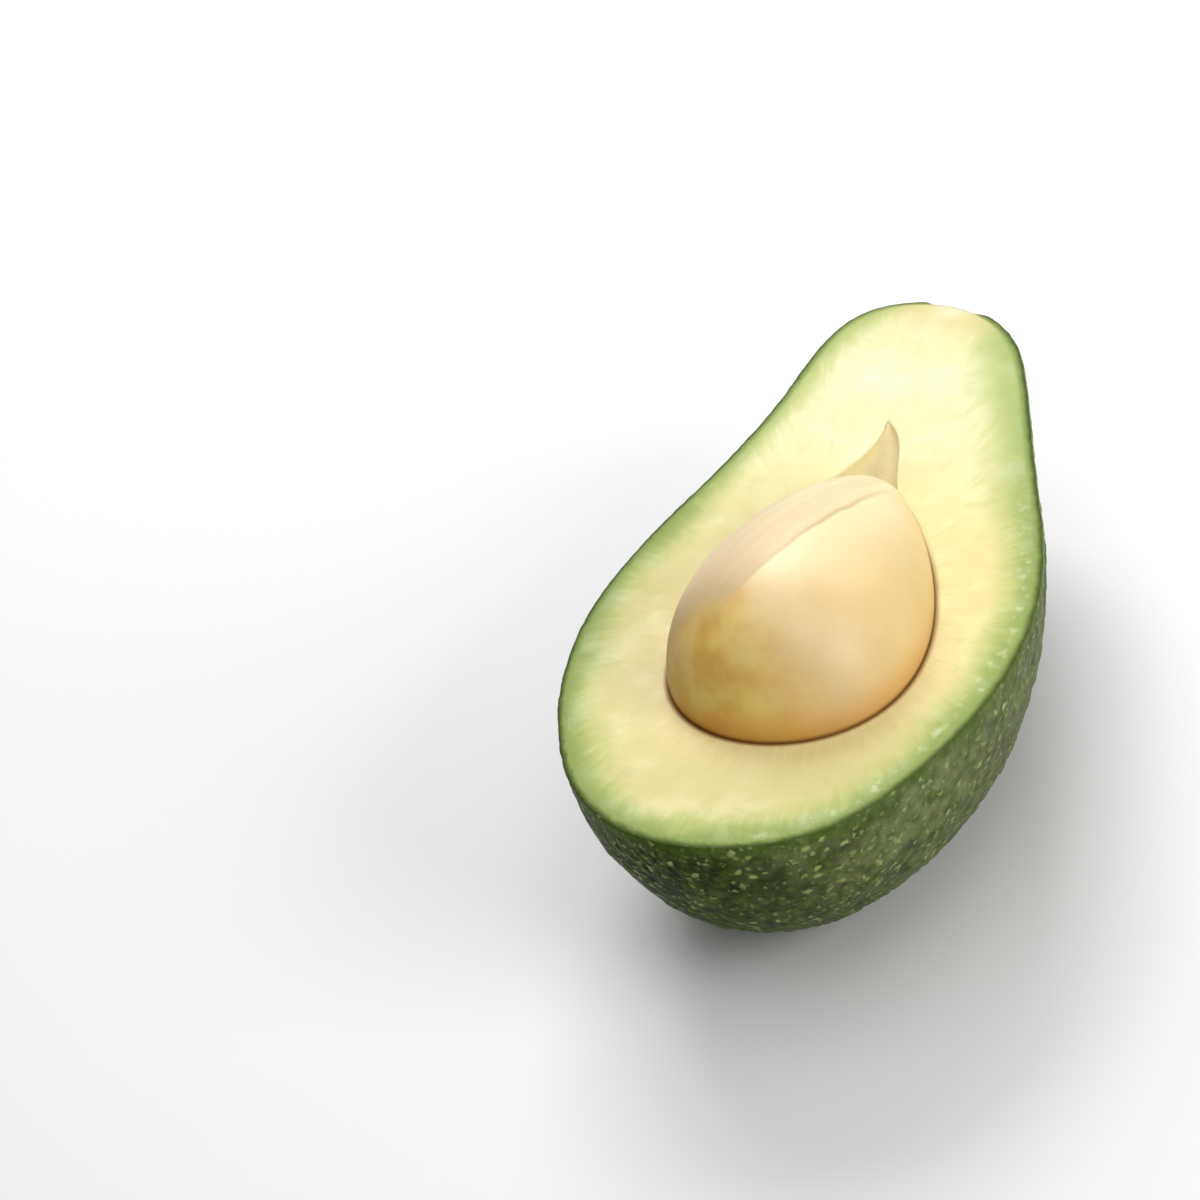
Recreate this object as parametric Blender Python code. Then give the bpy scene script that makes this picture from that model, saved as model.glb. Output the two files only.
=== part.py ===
"""Half of a long, pebble-skinned avocado with its seed, lying on its back.

The cut face is level and looks up. +Y runs along the fruit towards its stem end, and the
origin is the middle of the small flat spot that it rests on. All sizes are in metres.
"""

import bpy
import bmesh
import numpy as np
from mathutils import Matrix, Vector, noise

MM = 0.001

# The fruit
LENGTH = 125.3 * MM
WIDTH = 66.0 * MM
# Fullness of the outline from the blossom end to the stem end: 1 all along is an ellipse
FULLNESS = (1.35, 0.90, 1.26, 1.04, 0.57, 0.59, 1.02)
# Sideways place of the middle line, from the blossom end to the stem end
BEND = (0.8 * MM, -1.0 * MM, 5.0 * MM, -4.7 * MM)
# Depth below the cut as a share of the half width, over 1 because the cut is off centre
DEPTH = (1.20, 1.21, 1.05)

# The flat spot that it rests on
REST_Y = 45.5 * MM
REST_PRESS = 1.9 * MM
REST_EDGE = 0.25 * MM

# The skin and its pebbled relief
SKIN_THICKNESS = 1.2 * MM
PEBBLE_SPACING = 6.5 * MM
PEBBLE_HEIGHT = 0.75 * MM
PEBBLE_RADIUS = 0.65
PEBBLE_FADE = 5.0 * MM

# The round scar where the stem was, cut through with the fruit
SCAR_X = 0.35 * MM
SCAR_Y = 123.6 * MM
SCAR_TURN = -0.35
SCAR_RADIUS = 4.6 * MM
SCAR_DEPTH = 5.0 * MM

# The seed, an egg with its narrow end towards the stem
SEED_X = 2.5 * MM
SEED_Y = 49.0 * MM
SEED_SINK = 0.3 * MM
SEED_HALF_LENGTH = 28.1 * MM
SEED_HALF_WIDTH = 17.2 * MM
SEED_EGG = 0.38
# The papery coat that still covers one side of the seed: how far it stands above the bare
# side, how wide its torn edge is, and the parabola that the edge follows on the unit ball
COAT_HEIGHT = 0.4 * MM
COAT_FADE = 1.6 * MM
COAT_EDGE = (0.19, 0.51, -0.17)

# The pointed hollow that runs on from the seed's narrow end
# Bezier curves from its tip to deep inside the seed's room, where it has merged with it
HOLLOW_X = (-1.4 * MM, 2.5 * MM, -0.5 * MM, -2.5 * MM, 1.0 * MM)
HOLLOW_Y = (93.6 * MM, 87.0 * MM, 79.0 * MM, 77.5 * MM, 60.0 * MM)
HOLLOW_RADIUS = (0.0 * MM, 3.0 * MM, 2.0 * MM, 9.5 * MM, 10.0 * MM)

GAP = 0.3 * MM
SEED_GAP = 0.4 * MM

# How finely each surface is divided, across and along
SKIN_OUTSIDE_GRID = (48, 78)
SKIN_INSIDE_GRID = (22, 36)
FLESH_GRID = (22, 36)
SEED_DIVISIONS = 4
HOLLOW_RINGS = 12
HOLLOW_SIDES = 16


def bezier(values, t):
    """The Bezier curve with these control values, at t from 0 to 1."""
    levels = [np.full_like(t, value) for value in values]
    while len(levels) > 1:
        levels = [a * (1 - t) + b * t for a, b in zip(levels, levels[1:])]
    return levels[0]


def section(t):
    """Middle line, half width and depth share at t, from 0 at the blossom end to 1."""
    half_width = WIDTH * np.sqrt(np.clip(t * (1 - t), 0, None)) * bezier(FULLNESS, t)
    return bezier(BEND, t), half_width, bezier(DEPTH, t)


def hemisphere_grid(across, along):
    """A square grid pressed onto the lower unit hemisphere with equal areas.

    Returns its points, its triangles facing out, and the points round its rim in order.
    """
    u, v = np.meshgrid(
        np.linspace(-1, 1, across + 1), np.linspace(-1, 1, along + 1), indexing="ij"
    )
    wide = np.abs(u) > np.abs(v)
    radius = np.where(wide, u, v)
    safe = np.where(radius == 0, 1, radius)
    angle = np.where(wide, np.pi / 4 * v / safe, np.pi / 2 - np.pi / 4 * u / safe)
    swell = np.sqrt(2 - radius**2)
    points = np.stack(
        [
            radius * np.cos(angle) * swell,
            radius * np.sin(angle) * swell,
            radius**2 - 1,
        ],
        axis=-1,
    )
    index = np.arange(u.size).reshape(u.shape)
    a, b, c, d = index[:-1, :-1], index[1:, :-1], index[1:, 1:], index[:-1, 1:]
    middle = (u + np.roll(u, -1, 0))[:-1, :-1] * (v + np.roll(v, -1, 1))[:-1, :-1]
    rising = (middle > 0)[..., None]
    first = np.where(rising, np.stack([a, c, b], -1), np.stack([a, d, b], -1))
    second = np.where(rising, np.stack([a, d, c], -1), np.stack([b, d, c], -1))
    triangles = np.concatenate([first.reshape(-1, 3), second.reshape(-1, 3)])
    rim = np.concatenate([index[:-1, 0], index[-1, :-1], index[:0:-1, -1], index[0, :0:-1]])
    return points.reshape(-1, 3), triangles, rim


def fruit_points(unit):
    """Unit hemisphere points carried onto the half fruit, with their outward normals.

    Across is the middle line plus the half width times x, along is the length times
    (1 + y) / 2, and down is the depth share times the half width times z. The cut is z = 0.
    """
    t = np.clip((1 + unit[:, 1]) / 2, 0, 1)
    step = 1e-4
    before, after = np.clip(t - step, 0, 1), np.clip(t + step, 0, 1)
    span = (after - before) * LENGTH
    middle, half_width, depth = section(t)
    middle_0, half_0, depth_0 = section(before)
    middle_1, half_1, depth_1 = section(after)
    fullness = WIDTH / 2 * bezier(FULLNESS, t)
    x = fullness * unit[:, 0]
    z = fullness * depth * unit[:, 2]
    normals = np.stack(
        [
            x,
            -x * (middle_1 - middle_0) / span
            - (half_1**2 - half_0**2) / span / 2
            - z**2 / depth**3 * (depth_1 - depth_0) / span,
            z / depth**2,
        ],
        axis=-1,
    )
    normals /= np.linalg.norm(normals, axis=1, keepdims=True)
    return np.stack([middle + x, LENGTH * t, z], axis=-1), normals


def lowest_point():
    """How far the round fruit would reach below its cut face."""
    t = np.linspace(0, 1, 2001)
    _, half_width, depth = section(t)
    return (half_width * depth).max()


CUT_HEIGHT = lowest_point() - REST_PRESS
REST_X = float(bezier(BEND, np.array([REST_Y / LENGTH]))[0])


def to_place(points):
    """From the cut face's own frame to the frame whose origin is the rest spot."""
    return points + np.array([-REST_X, -REST_Y, CUT_HEIGHT])


def pressed_flat(height, floor):
    """Heights kept above a floor, flat below it, with a soft edge."""
    above = height - floor
    edge = np.clip(above + REST_EDGE, 0, None) ** 2 / (4 * REST_EDGE)
    return floor + np.where(above > REST_EDGE, above, edge)


def pebbles(points):
    """Height of the skin's round pebbles, one in each cell of a scattered pattern."""
    nearest = [noise.voronoi(Vector(point / PEBBLE_SPACING))[0][0] for point in points]
    return PEBBLE_HEIGHT * np.clip(1 - (np.array(nearest) / PEBBLE_RADIUS) ** 2, 0, 1)


def half_fruit(inward, grid, pebbled=False):
    """The half fruit's surface moved inward, as points, triangles and rim."""
    unit, triangles, rim = hemisphere_grid(*grid)
    points, normals = fruit_points(unit)
    if pebbled:
        fade = np.clip(-points[:, 2] / PEBBLE_FADE, 0, 1)
        points += normals * (pebbles(points) * fade)[:, None]
    points -= inward * normals
    points = to_place(points)
    points[:, 2] = pressed_flat(points[:, 2], inward)
    points[rim, 2] = CUT_HEIGHT
    return points, triangles, rim


def new_mesh(name, points, faces):
    """A mesh of these points and faces, all facing outward."""
    mesh = bpy.data.meshes.new(name)
    mesh.from_pydata([tuple(point) for point in points], [], faces)
    shape = bmesh.new()
    shape.from_mesh(mesh)
    bmesh.ops.recalc_face_normals(shape, faces=shape.faces)
    shape.to_mesh(mesh)
    shape.free()
    return mesh


def new_object(name, mesh):
    thing = bpy.data.objects.new(name, mesh)
    bpy.context.scene.collection.objects.link(thing)
    return thing


def closed_half(name, inward, grid, raised=0.0, pebbled=False):
    """The half fruit closed by a flat lid at the cut, or at a height above it."""
    points, triangles, rim = half_fruit(inward, grid, pebbled)
    faces = [tuple(int(i) for i in triangle) for triangle in triangles]
    lid = [int(i) for i in rim]
    if raised:
        above = len(points) + np.arange(len(rim))
        points = np.concatenate([points, points[rim] + np.array([0, 0, raised])])
        upper = [int(i) for i in above]
        for i in range(len(lid)):
            j = (i + 1) % len(lid)
            faces.append((lid[i], lid[j], upper[j], upper[i]))
        lid = upper
    faces.append(tuple(lid))
    return new_object(name, new_mesh(name, points, faces))


def cut_away(thing, cutter):
    """An exact Boolean that takes the cutter out of the thing."""
    cutter.hide_render = True
    cutter.display_type = "WIRE"
    cut = thing.modifiers.new("cut by " + cutter.name, "BOOLEAN")
    cut.operation = "DIFFERENCE"
    cut.solver = "EXACT"
    cut.object = cutter


def scar_cutter():
    """A round bar through the skin where the stem was."""
    mesh = bpy.data.meshes.new("scar_cutter")
    shape = bmesh.new()
    bmesh.ops.create_cone(
        shape,
        cap_ends=True,
        segments=24,
        radius1=SCAR_RADIUS,
        radius2=SCAR_RADIUS,
        depth=2 * SCAR_DEPTH,
        matrix=Matrix.Rotation(SCAR_TURN, 4, "Z") @ Matrix.Rotation(-np.pi / 2, 4, "X"),
    )
    shape.to_mesh(mesh)
    shape.free()
    cutter = new_object("scar_cutter", mesh)
    cutter.location = to_place(np.array([SCAR_X, SCAR_Y, 0]))
    return cutter


def egg(name, grown=0.0, coated=False):
    """An egg-shaped ball: its radius shrinks towards the stem end."""
    mesh = bpy.data.meshes.new(name)
    shape = bmesh.new()
    bmesh.ops.create_icosphere(shape, subdivisions=SEED_DIVISIONS, radius=1.0)
    shape.to_mesh(mesh)
    shape.free()
    unit = np.array([vertex.co for vertex in mesh.vertices])
    taper = 1 - SEED_EGG * unit[:, 1]
    sizes = np.array([SEED_HALF_WIDTH, SEED_HALF_LENGTH, SEED_HALF_WIDTH]) + grown
    points = unit * sizes
    points[:, 0] *= taper
    points[:, 2] *= taper
    if coated:
        points -= unit * coat_bare(unit)[:, None]
    points = to_place(points + np.array([SEED_X, SEED_Y, -SEED_SINK]))
    mesh.vertices.foreach_set("co", points.astype(np.float32).ravel())
    mesh.update()
    return new_object(name, mesh)


def coat_bare(unit):
    """How far the bare side of the seed lies below the coat that is left on the other side."""
    edge = COAT_EDGE[0] + COAT_EDGE[1] * unit[:, 1] + COAT_EDGE[2] * unit[:, 1] ** 2
    across = (unit[:, 0] - edge) * SEED_HALF_WIDTH
    above = np.clip(unit[:, 2] * 4, 0, 1)
    return COAT_HEIGHT * above * np.clip(across / COAT_FADE + 0.5, 0, 1)


def hollow_cutter():
    """The pointed hollow: rings round a bent line, from inside the seed's room to the tip."""
    along = np.linspace(1, 0, HOLLOW_RINGS + 1)
    y = bezier(HOLLOW_Y, along)
    x = bezier(HOLLOW_X, along)
    radius = bezier(HOLLOW_RADIUS, along)
    angle = np.arange(HOLLOW_SIDES) * 2 * np.pi / HOLLOW_SIDES
    rings = np.stack(
        [
            x[:, None] + radius[:, None] * np.cos(angle),
            np.repeat(y[:, None], HOLLOW_SIDES, axis=1),
            radius[:, None] * np.sin(angle),
        ],
        axis=-1,
    )[:-1]
    points = np.concatenate([rings.reshape(-1, 3), [[HOLLOW_X[0], HOLLOW_Y[0], 0]]])
    faces = [tuple(range(HOLLOW_SIDES))]
    for ring in range(HOLLOW_RINGS - 1):
        start = ring * HOLLOW_SIDES
        for side in range(HOLLOW_SIDES):
            other = (side + 1) % HOLLOW_SIDES
            lower, upper = start + side, start + other
            faces.append((lower, lower + HOLLOW_SIDES, upper + HOLLOW_SIDES, upper))
    start = (HOLLOW_RINGS - 1) * HOLLOW_SIDES
    for side in range(HOLLOW_SIDES):
        faces.append((start + side, len(points) - 1, start + (side + 1) % HOLLOW_SIDES))
    return new_object("hollow_cutter", new_mesh("hollow_cutter", to_place(points), faces))


def painted(thing, colour, roughness):
    """A plain material of its own, with round surfaces shaded smooth."""
    material = bpy.data.materials.new(thing.name)
    material.use_nodes = True
    shader = material.node_tree.nodes["Principled BSDF"]
    shader.inputs["Base Color"].default_value = (*colour, 1)
    shader.inputs["Roughness"].default_value = roughness
    shader.inputs["Metallic"].default_value = 0
    thing.data.materials.append(material)
    thing.data.shade_smooth()
    thing.data.set_sharp_from_angle(angle=0.7)


def make_skin():
    """The pebbled skin: a thin cup, open at the cut, with a half-round hole at the stem scar."""
    skin = closed_half("skin", 0.0, SKIN_OUTSIDE_GRID, pebbled=True)
    inside = closed_half("skin_inside", SKIN_THICKNESS, SKIN_INSIDE_GRID, raised=SCAR_DEPTH)
    cut_away(skin, inside)
    cut_away(skin, scar_cutter())
    painted(skin, (0.06, 0.13, 0.02), 0.45)


def make_flesh():
    """The flesh: fills the skin up to the level cut, with room for the seed and the hollow."""
    flesh = closed_half("flesh", SKIN_THICKNESS + GAP, FLESH_GRID)
    cut_away(flesh, egg("seed_room", grown=SEED_GAP))
    cut_away(flesh, hollow_cutter())
    painted(flesh, (0.88, 0.84, 0.42), 0.4)


def make_seed():
    """The seed: half of it stands above the cut face."""
    seed = egg("seed", coated=True)
    painted(seed, (0.87, 0.66, 0.40), 0.35)


for thing in list(bpy.data.objects):
    bpy.data.objects.remove(thing)
make_skin()
make_flesh()
make_seed()
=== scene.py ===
"""The looks of half a long avocado with its seed, lying on its back on a pale floor."""

import itertools
import math

import bpy
import numpy as np
from mathutils import Matrix, Vector


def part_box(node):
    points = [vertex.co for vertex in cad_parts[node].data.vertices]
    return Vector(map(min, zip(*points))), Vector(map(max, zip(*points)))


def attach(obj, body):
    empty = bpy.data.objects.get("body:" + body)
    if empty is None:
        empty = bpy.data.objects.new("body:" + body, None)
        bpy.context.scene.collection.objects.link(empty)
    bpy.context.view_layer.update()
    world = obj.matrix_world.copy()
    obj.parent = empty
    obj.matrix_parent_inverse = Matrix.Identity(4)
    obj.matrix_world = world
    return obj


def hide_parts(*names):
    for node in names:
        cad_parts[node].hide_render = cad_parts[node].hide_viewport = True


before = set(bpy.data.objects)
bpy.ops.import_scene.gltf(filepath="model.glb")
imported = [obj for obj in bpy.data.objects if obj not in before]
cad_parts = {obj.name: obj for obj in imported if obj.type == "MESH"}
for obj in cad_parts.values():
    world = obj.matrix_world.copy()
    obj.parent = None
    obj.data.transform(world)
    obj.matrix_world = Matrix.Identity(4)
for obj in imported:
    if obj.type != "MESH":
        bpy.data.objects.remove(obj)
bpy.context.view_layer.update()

MM = 0.001

# The fruit, from its packed flesh, whose side lies a skin and a gap inside the fruit's own
FLESH_INWARD = 1.5 * MM
flesh_low, flesh_high = (np.array(corner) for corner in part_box("flesh"))
LENGTH = flesh_high[1] - flesh_low[1] + 2 * FLESH_INWARD
WIDTH = flesh_high[0] - flesh_low[0] + 2 * FLESH_INWARD
START_Y = flesh_low[1] - FLESH_INWARD
CUT_HEIGHT = flesh_high[2]
# Outline fullness, middle line and depth share, each a curve from blossom end to stem end
FULLNESS = (1.35, 0.90, 1.26, 1.04, 0.57, 0.59, 1.02)
BEND = (0.8 * MM, -1.0 * MM, 5.0 * MM, -4.7 * MM)
DEPTH = (1.20, 1.21, 1.05)
REST_EDGE = 0.25 * MM

# The skin, its grid, its rounded edge, and how far below the cut the edge's fall dies away
SKIN_THICKNESS = 1.2 * MM
SKIN_GRID = (230, 310)
RIM_ROUND = 0.28 * MM
RIM_ROWS = 5
OUTER_EASE = 1.5 * MM
INNER_EASE = 1.0 * MM
# Its relief: pebbles, lumps and grain
PEBBLE_SPACING = 2.4 * MM
PEBBLE_HEIGHT = 0.26 * MM
LUMP_SPACING = 9.0 * MM
LUMP_HEIGHT = 0.30 * MM
GRAIN_SPACING = 1.2 * MM
GRAIN_HEIGHT = 0.09 * MM
# Spacing and reach of what bends the pebbles' pattern, their radius and the valley between
# two in spacings, and the share of its height that the lowest one has
WARP_SPACING = 5 * MM
WARP_REACH = 0.8 * MM
PEBBLE_RADIUS = 0.8
PEBBLE_VALLEY = 0.3
LOWEST_PEBBLE = 0.3
# The relief's share at the cut, and how far below the cut it is whole
CUT_RELIEF = 0.45
WHOLE_RELIEF = 5 * MM

# The scar where the stem was
SCAR_X = 0.35 * MM
SCAR_Y = 123.6 * MM
SCAR_TURN = -0.35
SCAR_RADIUS = 4.6 * MM
SCAR_EDGE = (0.6 * SCAR_RADIUS, 1.4 * SCAR_RADIUS)
SCAR_REACH = 8 * MM
SCAR_SINK = 0.90 * MM
CORK_THICKNESS = 0.20 * MM

# The seed and the hollow beyond its narrow end
SEED_X = 2.5 * MM
SEED_Y = 49.0 * MM
SEED_SINK = 0.3 * MM
SEED_HALF_LENGTH = 28.1 * MM
SEED_HALF_WIDTH = 17.2 * MM
SEED_EGG = 0.38
SEED_GAP = 0.02 * MM
SEED_ROWS = 220
SEED_AROUND = 320
HOLLOW_X = (-1.4 * MM, 2.5 * MM, -0.5 * MM, -2.5 * MM, 1.0 * MM)
HOLLOW_Y = (93.6 * MM, 87.0 * MM, 79.0 * MM, 77.5 * MM, 60.0 * MM)
HOLLOW_RADIUS = (0.0 * MM, 3.0 * MM, 2.0 * MM, 9.5 * MM, 10.0 * MM)
# The torn coat's edge across the seed, half the width of its step in the seed's own
# measure, and its thickness, which dies away at the blunt end and in part at the tip
COAT_EDGE = (0.19, 0.51, -0.17)
COAT_STEP = 0.012
COAT_THICKNESS = 0.22 * MM
COAT_BLUNT_END = (-0.85, -0.4)
COAT_TIP = (0.5, 0.95)
COAT_TIP_LOSS = 0.6
# Where the coat fades away below the middle, in the seed's own measure
COAT_FOOT = (-0.25, 0.05)
# How far the bare seed lies inside its egg, and where its relief starts above the middle
BARE_SINK = 0.12 * MM
RELIEF_FOOT = (0.0, 0.25)

# The flesh's grid: columns all round, and rows in the seed's room, on the lip, face and side
FLESH_AROUND = 720
ROOM_ROWS = 26
LIP_ROWS = 5
LIP_WIDTH = 0.50 * MM
LIP_DEPTH = 0.24 * MM
FACE_ROWS = 84
FACE_CROWDING = 0.1
SIDE_ROWS = 15
# Its side lies a little less deep than the skin is thick, so that no gap shows
FLESH_TUCK = SKIN_THICKNESS - 0.05 * MM
# How far the cut's edge falls, how fast that dies away, and the row next to the edge
EDGE_DROP = 0.40 * MM
EDGE_REACH = 0.80 * MM
EDGE_MARGIN = 0.04 * MM
# Where the face's relief is whole, from the outside and from the room
FACE_CALM = 5 * MM
ROOM_CALM = 2 * MM
# How far the flesh lies below the skin where they meet, and where that ends
SEAM_TUCK = 0.04 * MM
SEAM_END = 1.6 * MM

# Soft noises: height, spacing and seed of each layer
CORK_BUMPS = ((0.10 * MM, 1.1 * MM, 23),)
FACE_WAVES = ((0.16 * MM, 21 * MM, 31), (0.05 * MM, 5 * MM, 32))
KNIFE_LINES = ((0.02 * MM, 1.0 * MM, 33),)
KNIFE_STRETCH = np.array([0.15, 1.0, 1.0])
RAGGED_TEAR = ((0.010, 0.13, 41), (0.005, 0.04, 42))
SEED_LUMPS = ((0.10 * MM, 9 * MM, 51), (0.035 * MM, 2.6 * MM, 52))
COAT_WRINKLES = ((0.02 * MM, 0.7, 53),)
WRINKLE_CROWDING = 6
# Large primes and a factor that turn whole numbers into random-looking ones
HASH_PRIMES = (73856093, 19349663, 83492791, 2654435761)
HASH_FACTOR = 0x45D9F3B
HASH_MASK = 0xFFFFFFFF

# How many points stand for each line when distances are taken, and how many go at once
HOLLOW_POINTS = 400
EGG_POINTS = 1500
FINE_EGG_POINTS = 4001
OUTLINE_POINTS = 3000
FINE_OUTLINE_POINTS = 6001
POINTS_AT_ONCE = 4000

# The camera, in the cut face's frame
CAMERA_PLACE = (179.4 * MM, -301.1 * MM, 305.7 * MM)
CAMERA_AIM = (-31.3 * MM, 48.1 * MM, 0.0)
CAMERA_ROLL = math.radians(-15.9)
CAMERA_LENS = 105.0
CAMERA_FILM = 36.0

# The room's own light, low down and overhead, and how high up it starts to rise
HORIZON_LIGHT = 0.03
OVERHEAD_LIGHT = 0.36
HORIZON_END = 0.2


# Shapes


def bezier(values, t):
    """The Bezier curve with these control values, at t from 0 to 1."""
    levels = [np.full_like(t, value) for value in values]
    while len(levels) > 1:
        levels = [a * (1 - t) + b * t for a, b in zip(levels, levels[1:])]
    return levels[0]


def smooth(low, high, x):
    """A smooth step from 0 at low to 1 at high: 3 s squared minus 2 s cubed."""
    s = np.clip((x - low) / (high - low), 0, 1)
    return s * s * (3 - 2 * s)


def section(t):
    """Middle line, half width and depth share at t along the fruit."""
    half_width = WIDTH * np.sqrt(np.clip(t * (1 - t), 0, None)) * bezier(FULLNESS, t)
    return bezier(BEND, t), half_width, bezier(DEPTH, t)


REST_X = float(section(np.array([-START_Y / LENGTH]))[0][0])
PLACE = np.array([-REST_X, START_Y, CUT_HEIGHT])


def hemisphere_grid(across, along):
    """A square grid pressed onto the lower unit hemisphere with equal areas.

    Rings of the square become rings of a disc, and a disc radius r goes down to r squared
    minus 1. Returns the points, the triangles facing out and the rim in order.
    """
    u, v = np.meshgrid(
        np.linspace(-1, 1, across + 1), np.linspace(-1, 1, along + 1), indexing="ij"
    )
    wide = np.abs(u) > np.abs(v)
    radius = np.where(wide, u, v)
    safe = np.where(radius == 0, 1, radius)
    angle = np.where(wide, np.pi / 4 * v / safe, np.pi / 2 - np.pi / 4 * u / safe)
    swell = np.sqrt(2 - radius**2)
    points = np.stack(
        [radius * np.cos(angle) * swell, radius * np.sin(angle) * swell, radius**2 - 1],
        axis=-1,
    ).reshape(-1, 3)
    index = np.arange(u.size).reshape(u.shape)
    a, b, c, d = index[:-1, :-1], index[1:, :-1], index[1:, 1:], index[:-1, 1:]
    middle = (u + np.roll(u, -1, 0))[:-1, :-1] * (v + np.roll(v, -1, 1))[:-1, :-1]
    rising = (middle > 0)[..., None]
    first = np.where(rising, np.stack([a, c, b], -1), np.stack([a, d, b], -1))
    second = np.where(rising, np.stack([a, d, c], -1), np.stack([b, d, c], -1))
    triangles = np.concatenate([first.reshape(-1, 3), second.reshape(-1, 3)])
    rim = np.concatenate([index[:-1, 0], index[-1, :-1], index[:0:-1, -1], index[0, :0:-1]])
    return points, triangles, rim


def fruit_points(unit):
    """Unit hemisphere points carried onto the half fruit, with their outward normals.

    Across is the middle line plus the half width times x, along is the length times
    (1 + y) / 2, and down is the depth share times the half width times z. The cut is z = 0.
    """
    t = np.clip((1 + unit[:, 1]) / 2, 0, 1)
    step = 1e-4
    before, after = np.clip(t - step, 0, 1), np.clip(t + step, 0, 1)
    span = (after - before) * LENGTH
    middle, _, depth = section(t)
    middle_0, half_0, depth_0 = section(before)
    middle_1, half_1, depth_1 = section(after)
    fullness = WIDTH / 2 * bezier(FULLNESS, t)
    x = fullness * unit[:, 0]
    z = fullness * depth * unit[:, 2]
    along = (
        -x * (middle_1 - middle_0) / span
        - (half_1**2 - half_0**2) / span / 2
        - z**2 / depth**3 * (depth_1 - depth_0) / span
    )
    normals = np.stack([x, along, z / depth**2], axis=-1)
    normals /= np.linalg.norm(normals, axis=1, keepdims=True)
    return np.stack([middle + x, LENGTH * t, z], axis=-1), normals


def rim_units(turn):
    """Unit hemisphere points round the rim, from the blossom end by way of the right."""
    return np.stack([np.sin(turn), -np.cos(turn), 0 * turn], axis=-1)


def pressed_flat(height, floor):
    """Heights kept above a floor, flat below it, with a soft edge."""
    above = height - floor
    edge = np.clip(above + REST_EDGE, 0, None) ** 2 / (4 * REST_EDGE)
    return floor + np.where(above > REST_EDGE, above, edge)


def hashed(cells, seed):
    """Four random numbers from 0 to 1 for each whole-numbered cell, the same each run."""
    x, y, z = (cells * HASH_PRIMES[:3]).T
    mixed = (x ^ y ^ z ^ seed * HASH_PRIMES[3]) & HASH_MASK
    numbers = []
    for _ in range(4):
        mixed = ((mixed >> 16) ^ mixed) * HASH_FACTOR & HASH_MASK
        mixed = ((mixed >> 16) ^ mixed) * HASH_FACTOR & HASH_MASK
        mixed = (mixed >> 16) ^ mixed
        numbers.append(mixed / HASH_MASK)
    return np.stack(numbers, axis=-1)


def scattered(points, spacing, seed):
    """Distances to random points, of which each cell of a cubic lattice has one.

    Returns the distance to the nearest one and to the second nearest, in cells, and a
    random number that belongs to the nearest.
    """
    place = points / spacing
    cell = np.floor(place).astype(np.int64)
    nearest = np.full(len(points), np.inf)
    second = nearest.copy()
    chance = np.zeros(len(points))
    for offset in itertools.product((-1, 0, 1), repeat=3):
        corner = cell + np.array(offset)
        numbers = hashed(corner, seed)
        gap = np.linalg.norm(corner + numbers[:, :3] - place, axis=1)
        closer = gap < nearest
        second = np.where(closer, nearest, np.minimum(second, gap))
        chance = np.where(closer, numbers[:, 3], chance)
        nearest = np.where(closer, gap, nearest)
    return nearest, second, chance


def billow(points, spacing, seed):
    """Soft noise from -1 to 1: each lattice corner's random number, blended smoothly."""
    place = points / spacing
    cell = np.floor(place).astype(np.int64)
    part = place - cell
    part = part * part * (3 - 2 * part)
    total = np.zeros(len(points))
    for offset in itertools.product((0, 1), repeat=3):
        corner = np.array(offset)
        share = np.prod(np.where(corner, part, 1 - part), axis=1)
        total += share * hashed(cell + corner, seed)[:, 0]
    return total * 2 - 1


def billows(points, layers):
    """The sum of layers of soft noise, each of them a height, a spacing and a seed."""
    return sum(height * billow(points, spacing, seed) for height, spacing, seed in layers)


def scar_share(points):
    """1 on the stem's scar, falling smoothly to 0 with the distance from its own axis."""
    offset = points - np.array([SCAR_X, SCAR_Y, 0])
    axis = np.array([-math.sin(SCAR_TURN), math.cos(SCAR_TURN), 0])
    outward = offset @ axis
    distance = np.linalg.norm(offset - outward[:, None] * axis, axis=1)
    return np.where(outward > -SCAR_REACH, 1 - smooth(*SCAR_EDGE, distance), 0)


def mesh_object(name, points, triangles, attributes):
    """A smooth-shaded mesh with point attributes, placed by its mesh alone."""
    mesh = bpy.data.meshes.new(name)
    mesh.vertices.add(len(points))
    mesh.vertices.foreach_set("co", np.asarray(points, np.float32).ravel())
    mesh.loops.add(triangles.size)
    mesh.loops.foreach_set("vertex_index", triangles.astype(np.int32).ravel())
    mesh.polygons.add(len(triangles))
    mesh.polygons.foreach_set("loop_start", np.arange(0, triangles.size, 3, dtype=np.int32))
    mesh.update(calc_edges=True)
    mesh.shade_smooth()
    for key, values in attributes.items():
        layer = mesh.attributes.new(key, "FLOAT", "POINT")
        layer.data.foreach_set("value", np.asarray(values, np.float32))
    piece = bpy.data.objects.new(name, mesh)
    bpy.context.scene.collection.objects.link(piece)
    return piece


def strip(first, second):
    """Triangles between two closed rings of points, with equal numbers in the same order."""
    next_first, next_second = np.roll(first, -1), np.roll(second, -1)
    return np.concatenate(
        [
            np.stack([first, next_first, next_second], -1),
            np.stack([first, next_second, second], -1),
        ]
    )


def halving_strip(many, few):
    """Triangles from a closed ring of points to one with half as many."""
    even, odd, after = many[::2], many[1::2], np.roll(many[::2], -1)
    next_few = np.roll(few, -1)
    return np.concatenate(
        [
            np.stack([even, odd, few], -1),
            np.stack([odd, next_few, few], -1),
            np.stack([odd, after, next_few], -1),
        ]
    )


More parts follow.
